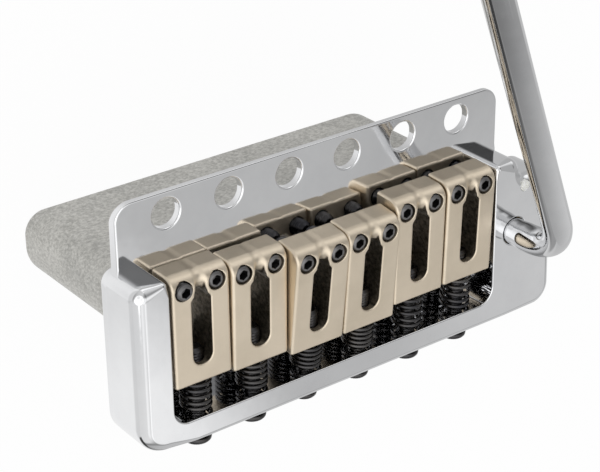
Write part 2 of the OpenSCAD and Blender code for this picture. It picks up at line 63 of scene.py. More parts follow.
MOUNTS = {m["name"]: m for m in frame["record"]["mounts"]}

# Plate: its corners' radii are in plan, seen from above
PLATE_LOW, PLATE_HIGH = (np.array(c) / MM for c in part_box("base_plate"))
WALL_TOP = PLATE_HIGH[2]
PLATE_UNDER = PLATE_LOW[2]
PLATE_HALF = -PLATE_LOW[0]
PAD_HALF = PLATE_HIGH[0]
PLATE_REAR = PLATE_LOW[1]
FLANGE_FRONT = PLATE_HIGH[1]
TRAY_REAR = JOINTS["tilt_1"]["pos_m"][1] / MM
TRAY_HALF = 32.1
WALL_FRONT = -7.7
FLANGE_HALF = 37.0
FLANGE_T = 1.9
FLANGE_LIP = 1.0
FLANGE_CORNER = 3.0
PAD_FRONT = -11.3
PAD_UNDER = -2.4
PAD_CORNER = 3.5
REAR_CORNER = 5.0
PAD_REAR_CORNER = 3.6
TRAY_CORNER = 2.8
WALL_END = 2.2
INNER_END = 0.9  # plan radius of the walls' inner front corners
PAD_WALL_CORNER = 1.4
SLAB_CORNER = 1.5
SLAB_HIGH = -0.5
REAR_BLEND = 10.0  # way from each rear corner over which the rim's edge hardens
LIP_START = 2.5  # way behind the walls' front at which their inner edge is sharp

# Holes in the plate and the block
PIVOT_HOLE_R = 2.4
PIVOT_SEAT_R = 3.0
PIVOT_RIM = 0.35
STRING_HOLE_R = 1.5
STRING_HOLE_Y = -19.7
STRING_BORE_R = 2.9
STRING_BORE_DEPTH = 26.0
CLAW_HOLE_R = 1.6
CLAW_HOLE_DEPTH = 12.0
ARM_BORE_R = 2.4
BUSH_BORE_R = 3.75
BUSH_BORE_TOP = 4.8
PLUG_HOLE_R = 1.02

# Saddles, their screws and springs
PITCH = 10.5
SADDLE_W = 10.25
SADDLE_L = 18.7
SADDLE_T = 5.5
SCREW_Y = 16.3  # height screws, from their saddle's tail
SCREW_PITCH = 5.92  # between the two height screws of a saddle
SCREW_R = 1.5
REACH_MIN = 4.2  # least way from the rear wall to a saddle
SCREW_REACH = 10.9  # an intonation screw's end, from the rear wall
HEAD_R = 2.0
HEAD_BACK = PLATE_REAR - TRAY_REAR
HEAD_FLAT = 1.62  # back from the wall to the end of the head; its rim is (radius, way back)
HEAD_RIM = ((1.75, 1.6), (2.08, 1.48), (2.25, 1.28), (2.3, 1.02), (2.3, 0.76), (2.2, 0.62))
TILT_MAX = math.radians(8)
BACKED_OUT = 0.7  # saddle 1, bass side
THREAD = 0.5
HEIGHT_SCREWS = {1: 5.2, 2: 5.7, 3: 7.9, 4: 7.4, 5: 6.0, 6: 6.1}  # lengths
SCREW_Z = JOINTS["tilt_1"]["pos_m"][2] / MM

# Arm
ARM_X, ARM_Y = (v / MM for v in JOINTS["arm_swing"]["pos_m"][:2])


def rotation_x(angle):
    """Matrix that turns by an angle about the X axis."""
    c, s = math.cos(angle), math.sin(angle)
    return np.array([[1, 0, 0], [0, c, -s], [0, s, c]])


class StringFrame:
    """Where one string's screw, spring and saddle lie: Y runs along the screw from the rear wall's face."""

    def __init__(self, n):
        axis = JOINTS[f"screw_spin_{n}"]["axis"]
        self.n = n
        self.tilt = math.atan2(axis[2], axis[1])
        self.origin = np.array(JOINTS[f"tilt_{n}"]["pos_m"]) / MM
        self.reach = REACH_MIN - JOINTS[f"intonation_{n}"]["range_m"][0] / MM
        self.turn = rotation_x(self.tilt)

    def place(self, points):
        """Points of this frame in the frame of the CAD model."""
        return points @ self.turn.T + self.origin

    def height_screw(self, side):
        """Place of a height screw's tip, and its length."""
        y = self.reach + SCREW_Y
        floor_gap = 0.06
        rise = floor_gap + (self.reach - REACH_MIN + SCREW_R / 2) * math.sin(TILT_MAX)
        z = -(SCREW_Z + y * math.sin(self.tilt) - rise) / math.cos(self.tilt)
        if self.n == 1 and side < 0:
            z += BACKED_OUT
        return np.array([side * SCREW_PITCH / 2, y, z]), HEIGHT_SCREWS[self.n]


FRAMES = {n: StringFrame(n) for n in STRINGS}


def grid_faces(rows, cols):
    """Quads of a grid of rows times cols points whose last column meets the first."""
    r = np.arange(rows - 1)[:, None]
    c = np.arange(cols)[None, :]
    d = (c + 1) % cols
    quads = [r * cols + c, r * cols + d, (r + 1) * cols + d, (r + 1) * cols + c]
    return np.stack(quads, -1).reshape(-1, 4)


def make_mesh(name, points, faces, caps=(), merge=True):
    """A mesh object from points in millimetres, quads and any many-sided caps, doubles merged."""
    mesh = bpy.data.meshes.new(name)
    polygons = [list(f) for f in faces] + [list(c) for c in caps]
    mesh.from_pydata((np.asarray(points) * MM).tolist(), [], polygons)
    if merge:
        shape = bmesh.new()
        shape.from_mesh(mesh)
        bmesh.ops.remove_doubles(shape, verts=shape.verts, dist=1e-7)
        shape.to_mesh(mesh)
        shape.free()
    mesh.shade_smooth()
    obj = bpy.data.objects.new(name, mesh)
    bpy.context.scene.collection.objects.link(obj)
    return obj


def joined(shapes):
    """Several (points, faces, caps) put together as one."""
    points, faces, caps, start = [], [], [], 0
    for p, f, c in shapes:
        points.append(p)
        faces.append(np.asarray(f) + start)
        caps += [[i + start for i in cap] for cap in c]
        start += len(p)
    return np.concatenate(points), np.concatenate(faces), caps


def outline(corners, degrees_per_step=6):
    """Closed outline through corners (x, y, plan radius, edge radius), counterclockwise.

    Each corner becomes an arc whose centre lies on the bisector of the two sides. Returns the points,
    their outward normals and the edge radius at each point.
    """
    corner = np.array([c[:2] for c in corners], float)
    ahead = np.roll(corner, -1, 0) - corner
    ahead /= np.linalg.norm(ahead, axis=1)[:, None]
    out = np.stack([ahead[:, 1], -ahead[:, 0]], 1)
    points, normals, edges = [], [], []
    for i, (x, y, r, e) in enumerate(corners):
        before, after = out[i - 1], out[i]
        a0 = math.atan2(before[1], before[0])
        turn = (math.atan2(after[1], after[0]) - a0 + math.pi) % TURN - math.pi
        side = 1 if turn > 0 else -1
        centre = np.array([x, y]) - side * r * (before + after) / (1 + before @ after)
        steps = max(1, math.ceil(abs(math.degrees(turn)) / degrees_per_step)) if r else 1
        a = a0 + turn * np.linspace(0, 1, steps + 1)
        n = np.stack([np.cos(a), np.sin(a)], 1)
        points.append(centre + side * r * n)
        normals.append(n)
        edges.append(np.full(len(a), e))
    return np.concatenate(points), np.concatenate(normals), np.concatenate(edges)


def rounded_prism(corners, low, high, low_edge=1.0, steps=8):
    """An upright solid over an outline: each ring is the outline drawn in by a quarter circle's inset.

    The upper rim takes each corner's own edge radius, the lower rim one edge radius.
    """
    p, n, e = outline(corners)
    a = np.linspace(0, math.pi / 2, steps + 1)
    rings = [(low_edge * (1 - np.sin(t)) + 0 * e, low + low_edge * (1 - np.cos(t)) + 0 * e) for t in a]
    rings += [(e * (1 - np.cos(t)), high - e * (1 - np.sin(t))) for t in a]
    points = np.concatenate([np.column_stack([p - n * inset[:, None], z]) for inset, z in rings])
    count = len(p)
    last = (len(rings) - 1) * count
    caps = [list(range(count))[::-1], [last + i for i in range(count)]]
    return points, grid_faces(len(rings), count), caps


def lathe(profile, segments, centre=(0, 0, 0)):
    """A closed solid of revolution: profile points (radius, height), turned about an upright axis."""
    prof = np.array(profile, float)
    a = np.linspace(0, TURN, segments, endpoint=False)
    x = prof[:, :1] * np.cos(a)
    y = prof[:, :1] * np.sin(a)
    h = prof[:, 1:] + 0 * a
    grid = np.stack([x, y, h], -1).reshape(-1, 3)
    return grid + np.array(centre), grid_faces(len(prof), segments), []


def arc(cx, cy, r, start, end, steps):
    """Points of an arc, angles in degrees."""
    a = np.radians(np.linspace(start, end, steps + 1))
    return np.column_stack([cx + r * np.cos(a), cy + r * np.sin(a)]).tolist()


def slot_prism(centres, r, y0, y1, segments=24):
    """A slot along Y: a stadium round two centres (x, z), carried from y0 to y1."""
    (x, z0), (_, z1) = centres
    ring = np.array(arc(x, z0, r, 180, 360, segments) + arc(x, z1, r, 0, 180, segments))
    count = len(ring)
    ends = [np.column_stack([ring[:, 0], np.full(count, y), ring[:, 1]]) for y in (y1, y0)]
    caps = [list(range(count))[::-1], list(range(count, 2 * count))]
    return np.concatenate(ends), grid_faces(2, count), caps


def apply_modifiers(obj):
    """Replaces an object's mesh by the one its modifiers give."""
    graph = bpy.context.evaluated_depsgraph_get()
    mesh = bpy.data.meshes.new_from_object(obj.evaluated_get(graph))
    old = obj.data
    obj.modifiers.clear()
    obj.data = mesh
    bpy.data.meshes.remove(old)


def combine(obj, shape, operation="DIFFERENCE"):
    """Cuts a shape out of an object, or adds it, with an exact boolean."""
    tool = make_mesh("tool", *shape)
    outward(tool)
    mod = obj.modifiers.new("boolean", "BOOLEAN")
    mod.solver = "EXACT"
    mod.operation = operation
    mod.object = tool
    apply_modifiers(obj)
    mesh = tool.data
    bpy.data.objects.remove(tool)
    bpy.data.meshes.remove(mesh)


def outward(obj):
    """Turns every face of a closed mesh outwards."""
    shape = bmesh.new()
    shape.from_mesh(obj.data)
    bmesh.ops.recalc_face_normals(shape, faces=shape.faces)
    shape.to_mesh(obj.data)
    shape.free()


def crisp(obj, degrees=32):
    """Smooth shading with sharp edges past an angle, flat faces kept flat."""
    obj.data.shade_smooth()
    obj.data.set_sharp_from_angle(angle=math.radians(degrees))
    mod = obj.modifiers.new("weighted", "WEIGHTED_NORMAL")
    mod.keep_sharp = True
    mod.weight = 100


def dress(obj, body, slot, material, *nodes):
    """Puts a finished piece on its body and in its material, in place of CAD nodes; the slot argument is not used.
    """
    obj.data.materials.clear()
    obj.data.materials.append(material)
    if body:
        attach(obj, body)
    if nodes:
        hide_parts(*nodes)
    return obj


# Shader building

# Outputs by place: of Texture Coordinate, of Geometry and of Light Path
GENERATED, OBJECT = 0, 3
NORMAL = 1
CAMERA_RAY, GLOSSY_RAY, TRANSMISSION_RAY = 0, 3, 6


class Value:
    """A shader socket that takes part in Python sums."""

    def __init__(self, finish, socket):
        self.finish, self.socket = finish, socket

    def __add__(self, other):
        return self.finish.maths("ADD", self, other)

    def __sub__(self, other):
        return self.finish.maths("SUBTRACT", self, other)

    def __rsub__(self, other):
        return self.finish.maths("SUBTRACT", other, self)

    def __mul__(self, other):
        return self.finish.maths("MULTIPLY", self, other)


class Finish:
    """One material or world under construction."""

    def __init__(self, owner):
        owner.use_nodes = True
        self.tree = owner.node_tree
        self.tree.nodes.clear()

    def node(self, kind, settings=(), inputs=(), output=0):
        """Adds a node: its settings first, then the values or links of its sockets."""
        n = self.tree.nodes.new(kind)
        for key, value in dict(settings).items():
            setattr(n, key, value)
        for key, value in dict(inputs).items():
            if isinstance(value, Value):
                self.tree.links.new(value.socket, n.inputs[key])
            else:
                n.inputs[key].default_value = value
        return Value(self, n.outputs[output]) if n.outputs else None

    def maths(self, operation, a, b=0.0):
        """One step of arithmetic."""
        return self.node("ShaderNodeMath", {"operation": operation}, {0: a, 1: b})

    def mix(self, share, a, b):
        """Colour between a and b."""
        return self.node("ShaderNodeMix", {"data_type": "RGBA"}, {0: share, 6: a, 7: b}, 2)

    def place(self, scale=(1, 1, 1), turn=(0, 0, 0)):
        """Object coordinates in millimetres, stretched and turned."""
        where = self.node("ShaderNodeTexCoord", output=OBJECT)
        return self.node("ShaderNodeMapping", {}, {0: where, 2: turn, 3: [s / MM for s in scale]})

    def split(self, vector):
        """The three parts of a vector."""
        parts = self.node("ShaderNodeSeparateXYZ", {}, {0: vector}).socket.node
        return [Value(self, out) for out in parts.outputs]

    def noise(self, where, scale, detail=3.0, roughness=0.5):
        """Cloudy noise about 0 to 1, with features of about 1 / scale millimetres."""
        return self.node("ShaderNodeTexNoise", {}, {"Vector": where, "Scale": scale, "Detail": detail,
                                                    "Roughness": roughness})

    def bump(self, height, strength, distance):
        """A bumped normal; the distance is in metres."""
        return self.node("ShaderNodeBump", {}, {"Strength": strength, "Distance": distance,
                                                "Height": height})

    def rgb(self, value):
        """A grey of the given level."""
        return self.node("ShaderNodeCombineColor", {}, {0: value, 1: value, 2: value})

    def steps(self, value, low, high, to_low=0.0, to_high=1.0):
        """A value carried from one range to another, clamped."""
        return self.node("ShaderNodeMapRange", {}, {0: value, 1: low, 2: high, 3: to_low, 4: to_high})

    def glow(self, tint, strength=1.0):
        """Light given off in one colour."""
        return self.node("ShaderNodeEmission", {}, {0: tint, 1: strength})

    def mix_shader(self, share, a, b):
        """Shader between a and b."""
        return self.node("ShaderNodeMixShader", {}, {0: share, 1: a, 2: b})


def colour(r, g, b):
    """An opaque colour."""
    return (r, g, b, 1)


def grey(v):
    """An opaque grey."""
    return colour(v, v, v)


def metal(name, base, dark):
    """Starts a metal: base colour mottled towards a darker one by a wide noise."""
    material = bpy.data.materials.new(name)
    f = Finish(material)
    where = f.place()
    cloud = f.noise(where, 0.12, 4, 0.6)
    tint = f.mix(f.steps(cloud, 0.35, 0.7), base, dark)
    return material, f, where, {"Base Color": tint, "Metallic": 1.0}


def close(f, values):
    """Ends a material with its Principled shader."""
    shader = f.node("ShaderNodeBsdfPrincipled", {}, values)
    f.node("ShaderNodeOutputMaterial", {}, {0: shader})


def chrome(name, tone):
    """Mirror chrome with faint smears and a faint ripple."""
    material, f, where, values = metal(name, colour(tone, tone * 1.005, tone * 1.015),
                                       colour(tone * 0.94, tone * 0.945, tone * 0.96))
    smear = f.noise(where, 0.25, 5, 0.65)
    values["Roughness"] = f.steps(smear, 0.35, 0.8, 0.035, 0.11)
    ripple = f.noise(where, 0.35, 1, 0.4)
    values["Normal"] = f.bump(ripple, 0.03, 0.0002)
    close(f, values)
    return material


def saddle_metal():
    """Warm satin metal, brushed along the saddle, with painted shade on the upright walls of its slot."""
    material, f, where, values = metal("saddle_satin", colour(0.80, 0.70, 0.56), colour(0.71, 0.62, 0.49))
    across, _, _ = f.split(where)
    aside = f.maths("ABSOLUTE", f.maths("FRACT", across * (1 / PITCH)) - 0.5) * PITCH
    normal = f.node("ShaderNodeNewGeometry", output=NORMAL)
    facing_x, _, facing_z = (f.maths("ABSOLUTE", v) for v in f.split(normal))
    # painted shade: the slot's upright walls darkened towards near black, in noisy patches
    inside = f.steps(aside, 1.95, 1.8) * f.steps(facing_x, 0.3, 0.6) * f.steps(facing_z, 0.5, 0.3)
    shade_patches = f.steps(f.noise(where, 1.4, 6, 0.75), 0.42, 0.72, 0.92, 0.4)
    values["Base Color"] = f.mix(inside * shade_patches, values["Base Color"], colour(0.06, 0.05, 0.036))
    brush = f.noise(f.place((1, 0.04, 1)), 9, 3, 0.6)
    pores = f.noise(where, 3.5, 4, 0.7)
    values["Roughness"] = f.steps(brush * 0.7 + pores * 0.3, 0.3, 0.7, 0.36, 0.50)
    values["Normal"] = f.bump(brush * 0.6 + pores * 0.4, 0.25, 0.00003)
    close(f, values)
    return material


def block_metal():
    """Grey tumbled metal: fine grain, pits and mottling."""
    material, f, where, values = metal("block_grey", colour(0.60, 0.59, 0.555), colour(0.46, 0.455, 0.43))
    grain = f.steps(f.noise(f.place((0.6, 1, 0.8)), 2.3, 4, 0.8), 0.38, 0.62)
    speckle = f.mix(grain, colour(0.17, 0.168, 0.155), colour(0.86, 0.85, 0.81))
    values["Base Color"] = f.mix(0.36, values["Base Color"], speckle)
    pits = f.noise(where, 2.2, 6, 0.75)
    patches = f.noise(where, 0.35, 3, 0.6)
    values["Roughness"] = f.steps(pits * 0.5 + patches * 0.5, 0.35, 0.65, 0.36, 0.52)
    values["Normal"] = f.bump(pits, 0.6, 0.00016)
    close(f, values)
    return material


def black_oxide(name, roughness=0.30, sheen_share=0.0):
    """Oiled black oxide on steel, with a painted sheen that lightens it by the given share where it faces up."""
    material, f, where, values = metal(name, colour(0.045, 0.045, 0.05), colour(0.11, 0.105, 0.10))
    _, _, up = f.split(f.node("ShaderNodeNewGeometry", output=NORMAL))
    # painted sheen: base colour lightened where the surface faces up
    painted_sheen = f.steps(up, 0.5, 0.8, 0.0, sheen_share)
    values["Base Color"] = f.mix(painted_sheen, values["Base Color"], colour(0.24, 0.235, 0.235))
    rub = f.noise(where, 1.3, 4, 0.6)
    values["Roughness"] = f.steps(rub, 0.3, 0.75, roughness - 0.06, roughness + 0.14)
    values["Normal"] = f.bump(rub, 0.2, 0.00002)
    close(f, values)
    return material


def plastic(name, tone, roughness):
    """Moulded plastic with a faint grain and a slight bloom of colour."""
    material = bpy.data.materials.new(name)
    f = Finish(material)
    where = f.place()
    bloom = f.noise(where, 0.3, 3)
    grain = f.noise(where, 6, 3)
    dim = colour(*(c * 0.92 for c in tone[:3]))
    close(f, {"Base Color": f.mix(bloom, tone, dim),
              "Roughness": f.steps(grain, 0.3, 0.7, roughness, roughness + 0.1),
              "Subsurface Weight": 0.1, "Subsurface Scale": 1.0,
              "Subsurface Radius": (0.001, 0.001, 0.0008),
              "Normal": f.bump(grain, 0.08, 0.00005)})
    return material


def turned_metal(name, base, dark, roughness):
    """Plain turned or rolled metal with fine rings."""
    material, f, _, values = metal(name, base, dark)
    rings = f.noise(f.place((0.1, 0.1, 1)), 8, 2)
    values["Roughness"] = f.steps(rings, 0.3, 0.7, roughness - 0.05, roughness + 0.1)
    close(f, values)
    return material


CHROME = chrome("plate_mirror_chrome", 0.80)
ARM_CHROME = chrome("arm_mirror_chrome", 0.74)
SADDLE = saddle_metal()
BLOCK = block_metal()
BLACK = black_oxide("screw_black_oxide")
# painted sheen: strong on the set screws' up-facing tops, faint on the springs
SET_SCREW = black_oxide("set_screw_sheen_oxide", 0.34, 0.7)
SPRING = black_oxide("spring_black_oxide", 0.26, 0.05)
NICKEL = turned_metal("screw_bright_nickel", colour(0.66, 0.65, 0.63), colour(0.55, 0.54, 0.52), 0.25)
BRASS = turned_metal("bush_brass", colour(0.78, 0.57, 0.27), colour(0.66, 0.47, 0.22), 0.25)
NYLON = plastic("plug_nylon", colour(0.88, 0.88, 0.84), 0.35)
IVORY = plastic("tip_ivory", colour(0.80, 0.76, 0.66), 0.22)


def plate_walls():
    """Walls and pad over one U-shaped outline, with the rear rim harder than the sides."""
    soft, rear, pad, inner, lip = 2.0, 0.9, 1.2, 0.85, 0.22
    return rounded_prism([
        (-PLATE_HALF, PLATE_REAR, REAR_CORNER, soft), (REAR_BLEND - PLATE_HALF, PLATE_REAR, 0, rear),
        (PAD_HALF - REAR_BLEND, PLATE_REAR, 0, rear), (PAD_HALF, PLATE_REAR, PAD_REAR_CORNER, pad),
        (PAD_HALF, PAD_FRONT, PAD_CORNER, soft), (PLATE_HALF, PAD_FRONT, PAD_WALL_CORNER, soft),
        (PLATE_HALF, WALL_FRONT, WALL_END, soft), (TRAY_HALF, WALL_FRONT, INNER_END, inner),
        (TRAY_HALF, WALL_FRONT - LIP_START, 0, lip), (TRAY_HALF, TRAY_REAR, TRAY_CORNER, lip),
        (-TRAY_HALF, TRAY_REAR, TRAY_CORNER, lip), (-TRAY_HALF, WALL_FRONT - LIP_START, 0, lip),
        (-TRAY_HALF, WALL_FRONT, INNER_END, inner), (-PLATE_HALF, WALL_FRONT, WALL_END, soft)],
        PAD_UNDER, WALL_TOP, 0.5)


def plate_slab():
    """The slab under the tray, a hair inside the walls' outline."""
    slip, edge = 0.02, 0.1
    half, rear, front = PLATE_HALF - slip, PLATE_REAR + slip, WALL_FRONT - slip
    return rounded_prism([
        (-half, rear, REAR_CORNER, edge), (half, rear, SLAB_CORNER, edge),
        (half, front, WALL_END, edge), (-half, front, WALL_END, edge)], PLATE_UNDER, SLAB_HIGH, 0.45)


def screw_holes():
    """Slots in the rear wall for the tilting screws, and ball-shaped seats for their heads."""
    seat_r = HEAD_R + 0.1
    low = SCREW_Z - HEAD_BACK * math.sin(-TILT_MAX)
    profile = [[0, low - seat_r]] + arc(0, low, seat_r, -85, 0, 14)
    profile += arc(0, SCREW_Z, seat_r, 0, 85, 14) + [[0, SCREW_Z + seat_r]]
    slots, seats = [], []
    for f in FRAMES.values():
        x = f.origin[0]
        slots.append(slot_prism([(x, low), (x, SCREW_Z)], SCREW_R + 0.1, PLATE_REAR - 1, TRAY_REAR + 1))
        seats.append(lathe(profile, 48, (x, PLATE_REAR, 0)))
    return slots, seats


def floor_holes():
    """String holes in the tray's floor, and pivot holes with a rolled rim and a seat from below."""
    r, over = STRING_HOLE_R, 1
    drill_bit = [[0, -8], [r, -8], [r, over], [0, over]]
    holes = [lathe(drill_bit, 32, (f.origin[0], STRING_HOLE_Y, 0)) for f in FRAMES.values()]
    r, rim = PIVOT_HOLE_R, PIVOT_RIM
    profile = [[0, -5], [PIVOT_SEAT_R, -5], [PIVOT_SEAT_R, -FLANGE_T], [r, -FLANGE_T + 0.6], [r, -rim]]
    profile += arc(r + rim, -rim, rim, 180, 90, 6)[1:] + [[r + rim, over], [0, over]]
    return holes + [lathe(profile, 96, (x, 0, 0)) for x in pivot_places()]


def pad_holes():
    """In the pad: the arm's bore with its rolled rim, the bush's bore below it, the plug's blind hole."""
    over, rim = 9, 0.3
    r, top = ARM_BORE_R, WALL_TOP - rim
    profile = [[0, 3], [r, 3], [r, top]] + arc(r + rim, top, rim, 180, 90, 5)[1:]
    profile += [[r + rim, over], [0, over]]
    bore = lathe(profile, 64, (ARM_X, ARM_Y, 0))
    r, top = BUSH_BORE_R, BUSH_BORE_TOP
    bush = lathe([[0, -6], [r, -6], [r, top], [0, top]], 64, (ARM_X, ARM_Y, 0))
    low, high = (np.array(c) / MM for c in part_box("nylon_plug"))
    x, y, _ = (low + high) / 2
    r = PLUG_HOLE_R
    plug = lathe([[0, low[2]], [r, low[2]], [r, over], [0, over]], 40, (x, y, 0))
    return bore, bush, plug


def make_plate():
    """The plate: walls and pad, a slab under the tray and the flange, less its holes."""
    plate = make_mesh("plate", *plate_walls())
    outward(plate)
    combine(plate, plate_slab(), "UNION")
    combine(plate, flange_shape(), "UNION")
    slots, seats = screw_holes()
    for shape in (joined(slots), joined(seats), joined(floor_holes()), *pad_holes()):
        combine(plate, shape)
    crisp(plate)
    return plate


def pivot_places():
    """X of the six pivot holes, from the outer mount's spacing."""
    half = MOUNTS["pivot_holes_outer"]["dims"]["spacing_x_mm"] / 2
    return np.linspace(-half, half, 6)


def flange_shape():
    """The flange and tray floor: a thin slab, thinned from below towards its front edge."""
    edge, hidden, corner = 0.32, 0.05, 0.4
    back, start = TRAY_REAR - 2, WALL_FRONT + 1
    corners = [(-FLANGE_HALF, back, corner, hidden), (FLANGE_HALF, back, corner, hidden),
               (FLANGE_HALF, WALL_FRONT, 0, hidden), (FLANGE_HALF, start, 0, edge),
               (FLANGE_HALF, FLANGE_FRONT, FLANGE_CORNER, edge),
               (-FLANGE_HALF, FLANGE_FRONT, FLANGE_CORNER, edge),
               (-FLANGE_HALF, start, 0, edge), (-FLANGE_HALF, WALL_FRONT, 0, hidden)]
    points, faces, caps = rounded_prism(corners, -FLANGE_T, 0, 0.2)
    rise = (FLANGE_T - FLANGE_LIP) * np.clip(points[:, 1] / FLANGE_FRONT, 0, 1)
    points[:, 2] += rise * np.clip(-points[:, 2] / FLANGE_T, 0, 1)
    return points, faces, caps


def make_block():
    """The block: a long stadium with softened rims, tighter at its bass end's front, bored from below."""
    low, high = (np.array(c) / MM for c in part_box("inertia_block"))
    round_r, tight_r, rim = (high[1] - low[1]) / 2 - 0.001, 4.0, 0.35
    block = make_mesh("block", *rounded_prism([
        (low[0], low[1], round_r, rim), (high[0], low[1], round_r, rim),
        (high[0], high[1], round_r, rim), (low[0], high[1], tight_r, rim)], low[2], high[2] - 0.02, 0.9))
    outward(block)
    holes = []
    for name, mount in MOUNTS.items():
        x, y, _ = (v / MM for v in mount["pos_m"])
        if name.startswith("string_bore"):
            holes.append(lathe(drill(low[2], STRING_BORE_R, STRING_BORE_DEPTH), 48, (x, y, 0)))
        if name == "claw_spring_hole_centre":
            profile = drill(low[2], CLAW_HOLE_R, CLAW_HOLE_DEPTH)
            holes += [lathe(profile, 32, (k * PITCH, y, 0)) for k in range(-2, 3)]
    combine(block, joined(holes))
    crisp(block)
    return block


def drill(face, r, depth):
    """Profile of a drilled hole going up from a face, with a small countersink and a drill point."""
    sink, under = 0.35, face - 2
    return [[0, under], [r + sink, under], [r + sink, face], [r, face + sink], [r, face + depth],
            [0, face + depth + r * 0.3]]


def tube(path, radius, sides=16):
    """A round tube along a path: rings square to it, turned with the least twist from ring to ring."""
    path = np.asarray(path, float)
    radius = np.broadcast_to(radius, len(path))
    along = np.gradient(path, axis=0)
    along /= np.linalg.norm(along, axis=1)[:, None]
    u = np.empty_like(path)
    start = np.array([1.0, 0, 0]) if abs(along[0][0]) < 0.9 else np.array([0, 1.0, 0])
    for i, t in enumerate(along):
        start = start - t * (start @ t)
        start /= np.linalg.norm(start)
        u[i] = start
    v = np.cross(along, u)
    a = np.linspace(0, TURN, sides, endpoint=False)[None, :, None]
    rings = path[:, None] + radius[:, None, None] * (np.cos(a) * u[:, None] + np.sin(a) * v[:, None])
    count = len(path)
    caps = [list(range(sides))[::-1], [(count - 1) * sides + i for i in range(sides)]]
    return rings.reshape(-1, 3), grid_faces(count, sides), caps


def arm_line():
    """Middle line and radius of the arm: shaft, bend and long leg, in the arm's own plane."""
    depth, rise, bend_r, length = 22.0, 2.7, 11.2, 140.0
    slope, heading = math.radians(9.8), math.radians(116.7)
    bend = math.pi / 2 - slope
    chamfer = 0.6
    up = np.concatenate([[-depth], np.linspace(-depth + chamfer, 0, 12), np.linspace(0.5, rise, 12)])
    a = np.linspace(0, bend, 28)[1:]
    s = np.linspace(0, length, 40)[1:]
    out = bend_r * (1 - math.cos(bend)) + s * math.sin(bend)
    high = rise + bend_r * math.sin(bend) + s * math.cos(bend)
    reach = np.concatenate([0 * up, bend_r * (1 - np.cos(a)), out])
    height = np.concatenate([up, rise + bend_r * np.sin(a), high])
    shaft, thick, thin = 2.3, 2.45, 2.4
    swell = shaft + (thick - shaft) * np.clip((up - rise / 2) / (rise / 2), 0, 1)
    swell[0] = shaft - chamfer
    radius = np.concatenate([swell, np.full(len(a), thick), thick + (thin - thick) * s / length])
    x = ARM_X + reach * math.cos(heading)
    y = ARM_Y + reach * math.sin(heading)
    return np.column_stack([x, y, WALL_TOP + height]), radius


def make_arm():
    """The arm's rod."""
    path, radius = arm_line()
    arm = make_mesh("arm_rod", *tube(path, radius, 64))
    crisp(arm, 40)
    return arm


def make_tip():
    """The arm's tip: a cone with a ball end, turned about the long leg."""
    path, _ = arm_line()
    along = path[-1] - path[-2]
    along /= np.linalg.norm(along)
    r, length, grip = 4.48, 21.98, 14.0
    neck, rim = r * 0.78, 0.5
    profile = [[0, 0.6], [2.9, 0.6]] + arc(neck - rim, rim, rim, -90, 0, 6)
    s = np.linspace(0, 1, 12)[1:]
    wide = neck + (r - neck) * np.sin(s * math.pi / 2)
    profile += np.column_stack([wide, rim + s * (length - r - rim)]).tolist()
    profile += arc(0, length - r, r, 3, 88, 16) + [[0, length]]
    points, faces, caps = lathe(profile, 72)
    side = np.cross(along, [0, 0, 1.0])
    side /= np.linalg.norm(side)
    basis = np.stack([side, np.cross(along, side), along])
    tip = make_mesh("arm_knob", points @ basis + path[-1] - along * grip, faces, caps)
    outward(tip)
    crisp(tip, 40)
    return tip


# Saddles


def smooth_max(a, b, k):
    """The larger of two distances, with the corner between them rounded over about k."""
    h = np.clip(0.5 + 0.5 * (a - b) / k, 0, 1)
    return b + (a - b) * h + k * h * (1 - h)


def saddle_distance(p):
    """Distance to a saddle's skin: a slab with a round nose, less its slot, groove and bores.

    The groove is a round channel that follows the skin over the nose; its depth dies away with the way
    along, by an exponential. Slot and groove leave a round land about each height screw.
    """
    x, y, z = p[..., 0], p[..., 1], p[..., 2]
    half_l, half_t = SADDLE_L / 2, SADDLE_T / 2
    v = y - half_l
    nose, edge = 2.2, 0.45
    r = np.where((v > 0) & (z > 0), nose, edge)
    qy, qz = np.abs(v) - half_l + r, np.abs(z) - half_t + r
    side = np.minimum(np.maximum(qy, qz), 0) + np.hypot(np.maximum(qy, 0), np.maximum(qz, 0)) - r
    qx, qs = np.abs(x) - SADDLE_W / 2 + edge, side + edge
    body = np.minimum(np.maximum(qx, qs), 0) + np.hypot(np.maximum(qx, 0), np.maximum(qs, 0)) - edge
    slot_r, tail, front = 1.75, 3.0, 15.6
    slot_land, groove_land = 2.3, 2.1
    cy = np.clip(y, tail + slot_r, front - slot_r)
    slot = np.hypot(x, y - cy) - slot_r
    from_screw = np.hypot(np.abs(x) - SCREW_PITCH / 2, y - SCREW_Y)
    slot = smooth_max(slot, slot_land - from_screw, 0.35)
    ny, nz = y - SADDLE_L + nose, z - half_t + nose
    above = np.where(ny > 0, np.hypot(ny, np.maximum(nz, 0)), nz) - nose
    way = np.where(ny > 0, np.arctan2(ny, np.maximum(nz, 0.01)) * nose, ny) - np.minimum(nz, 0) * (ny > 0)
    channel, lift, fade = 1.2, 0.75, 1.6
    groove = np.hypot(x, above - channel + lift * np.exp(-way / fade)) - channel
    groove = smooth_max(groove, groove_land - from_screw, 0.3)
    body = smooth_max(body, -slot, 0.3)
    body = smooth_max(body, -groove, 0.4)
    body = smooth_max(body, SCREW_R + 0.02 - from_screw, 0.14)
    tail_bore = np.maximum(np.hypot(x, z) - SCREW_R - 0.06, y - tail - slot_r)
    return smooth_max(body, -tail_bore, 0.2)


